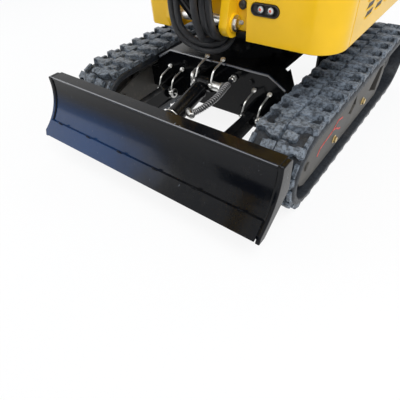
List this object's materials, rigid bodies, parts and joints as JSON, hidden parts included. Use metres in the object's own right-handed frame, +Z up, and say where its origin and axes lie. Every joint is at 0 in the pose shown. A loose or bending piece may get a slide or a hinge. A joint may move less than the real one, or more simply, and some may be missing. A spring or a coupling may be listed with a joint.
{
  "type": "mini excavator",
  "caption": "Compact tracked digger with a dozer blade, a slewing house with an open canopy, and a boom, arm and bucket on hydraulic cylinders.",
  "frame": {"origin": "middle of the machine's box at floor level, under the tracks' shoes", "axes": "-Y is the front, where the blade, boom and bucket are; +X is the operator's left; +Z is up. The slew axis stands at x 0, y 0.612."},
  "size_m": [0.96, 2.6038, 2.235],
  "materials": {
    "yellow_paint": "glossy bright yellow machine paint, dusty and lightly scuffed",
    "black_paint": "glossy black paint, worn along its edges",
    "frame_paint": "satin grey-brown black paint with dust",
    "cast_black": "painted casting, satin",
    "worn_steel": "bare steel with scuffs and light rust",
    "zinc_steel": "zinc plated pins and fittings",
    "chrome_rod": "polished chrome",
    "track_rubber": "worn blue-grey rubber",
    "hose_rubber": "ribbed hydraulic hose cover",
    "seat_vinyl": "black vinyl with sewn seams",
    "dark_plastic": "moulded black plastic",
    "lamp_lens": "clear moulded lens over a reflector"
  },
  "bodies": {
    "undercarriage": {"centre_frame": "black_paint", "track_frame_left": "frame_paint", "track_frame_right": "frame_paint", "rubber_track_left": "track_rubber", "rubber_track_right": "track_rubber", "front_idler_left": "cast_black", "front_idler_right": "cast_black", "drive_sprocket_left": "worn_steel", "drive_sprocket_right": "worn_steel", "slew_ring": "worn_steel"},
    "blade": {"blade_mouldboard": "black_paint", "blade_push_arm_left": "black_paint", "blade_push_arm_right": "black_paint", "blade_cutting_edge": "worn_steel"},
    "blade_cylinder": {"blade_cylinder_barrel": "black_paint", "blade_hose": "hose_rubber"},
    "blade_rod": {"blade_cylinder_rod": "chrome_rod"},
    "house": {"house_deck": "black_paint", "boom_ears": "yellow_paint", "front_panel_left": "yellow_paint", "front_panel_right": "yellow_paint", "lamp_cluster": "lamp_lens", "recess_panel_left": "yellow_paint", "side_cover_left": "yellow_paint", "side_cover_right": "yellow_paint", "counterweight": "cast_black", "floor_plate": "cast_black", "seat_base": "black_paint", "engine": "cast_black", "seat_cushion": "seat_vinyl", "seat_back": "seat_vinyl", "seat_pan": "cast_black", "control_stand": "black_paint", "control_levers": "dark_plastic", "canopy_frame": "black_paint", "canopy_roof": "yellow_paint", "boom_hoses": "hose_rubber"},
    "hood": {"engine_hood": "yellow_paint"},
    "boom": {"boom": "yellow_paint", "boom_pipes": "zinc_steel"},
    "boom_cylinder": {"boom_cylinder_barrel": "black_paint"},
    "boom_rod": {"boom_cylinder_rod": "chrome_rod"},
    "arm": {"arm": "yellow_paint"},
    "arm_cylinder": {"arm_cylinder_barrel": "black_paint"},
    "arm_rod": {"arm_cylinder_rod": "chrome_rod"},
    "rocker": {"rocker_link_left": "cast_black", "rocker_link_right": "cast_black"},
    "push_link": {"push_link": "cast_black"},
    "bucket_cylinder": {"bucket_cylinder_barrel": "black_paint"},
    "bucket_rod": {"bucket_cylinder_rod": "chrome_rod"},
    "bucket": {"bucket": "black_paint"}
  },
  "joints": [
    {"name": "slew", "type": "hinge", "parent": "undercarriage", "child": "house", "pos_m": [0, 0.61192, 0], "axis": [0, 0, 1], "continuous": true},
    {"name": "blade_lift", "type": "hinge", "parent": "undercarriage", "child": "blade", "pos_m": [0, 0.30292, 0.168], "axis": [-1, 0, 0], "range_deg": [-24, 14]},
    {"name": "blade_cylinder_tilt", "type": "hinge", "parent": "undercarriage", "child": "blade_cylinder", "pos_m": [0, 0.30292, 0.25], "axis": [-1, 0, 0], "range_deg": [-24, 14]},
    {"name": "blade_rod_slide", "type": "slide", "parent": "blade_cylinder", "child": "blade_rod", "axis": [0, -0.9768, -0.214], "range_m": [-0.021, 0.035]},
    {"name": "boom_lift", "type": "hinge", "parent": "house", "child": "boom", "pos_m": [0, 0.38192, 0.69], "axis": [-1, 0, 0], "range_deg": [-48, 45], "deforming": ["boom_hoses"]},
    {"name": "boom_cylinder_tilt", "type": "hinge", "parent": "house", "child": "boom_cylinder", "pos_m": [0, 0.31292, 0.471], "axis": [-1, 0, 0], "range_deg": [-40, 37]},
    {"name": "boom_rod_slide", "type": "slide", "parent": "boom_cylinder", "child": "boom_rod", "axis": [0, -0.6499, 0.76], "range_m": [-0.164, 0.154]},
    {"name": "arm_swing", "type": "hinge", "parent": "boom", "child": "arm", "pos_m": [0, -0.78308, 1.109], "axis": [1, 0, 0], "range_deg": [-52, 58]},
    {"name": "arm_cylinder_tilt", "type": "hinge", "parent": "boom", "child": "arm_cylinder", "pos_m": [0, -0.07808, 1.31], "axis": [1, 0, 0], "range_deg": [-4, 4]},
    {"name": "arm_rod_slide", "type": "slide", "parent": "arm_cylinder", "child": "arm_rod", "axis": [0, -0.9972, -0.0748], "range_m": [-0.12, 0.134]},
    {"name": "bucket_curl", "type": "hinge", "parent": "arm", "child": "bucket", "pos_m": [0, -1.12118, 0.38395], "axis": [1, 0, 0], "range_deg": [-85, 45]},
    {"name": "rocker_turn", "type": "hinge", "parent": "arm", "child": "rocker", "pos_m": [0, -1.04088, 0.55615], "axis": [1, 0, 0], "range_deg": [-85, 45]},
    {"name": "push_link_turn", "type": "hinge", "parent": "rocker", "child": "push_link", "pos_m": [0, -1.18234, 0.56853], "axis": [1, 0, 0], "range_deg": [-45, 85]},
    {"name": "bucket_cylinder_tilt", "type": "hinge", "parent": "arm", "child": "bucket_cylinder", "pos_m": [0, -0.88459, 1.15633], "axis": [1, 0, 0], "range_deg": [-2, 2]},
    {"name": "bucket_rod_slide", "type": "slide", "parent": "bucket_cylinder", "child": "bucket_rod", "axis": [0, -0.4519, -0.8921], "range_m": [-0.174, 0.093]},
    {"name": "hood_open", "type": "hinge", "parent": "house", "child": "hood", "pos_m": [0, 1.08292, 0.889], "axis": [1, 0, 0], "range_deg": [0, 60]}
  ],
  "couplings": [
    {"joint": "blade_cylinder_tilt", "follows": "blade_lift", "ratio": 0.92024},
    {"joint": "blade_rod_slide", "follows": "blade_lift", "m_per_rad": -0.07755},
    {"joint": "boom_cylinder_tilt", "follows": "boom_lift", "ratio": 0.7943},
    {"joint": "boom_rod_slide", "follows": "boom_lift", "m_per_rad": 0.19266},
    {"joint": "arm_cylinder_tilt", "follows": "arm_swing", "ratio": 0.04505},
    {"joint": "arm_rod_slide", "follows": "arm_swing", "m_per_rad": 0.12966},
    {"joint": "rocker_turn", "follows": "bucket_curl", "ratio": 1},
    {"joint": "push_link_turn", "follows": "bucket_curl", "ratio": -1},
    {"joint": "bucket_cylinder_tilt", "follows": "bucket_curl", "ratio": 0.007},
    {"joint": "bucket_rod_slide", "follows": "bucket_curl", "m_per_rad": 0.11584}
  ]
}
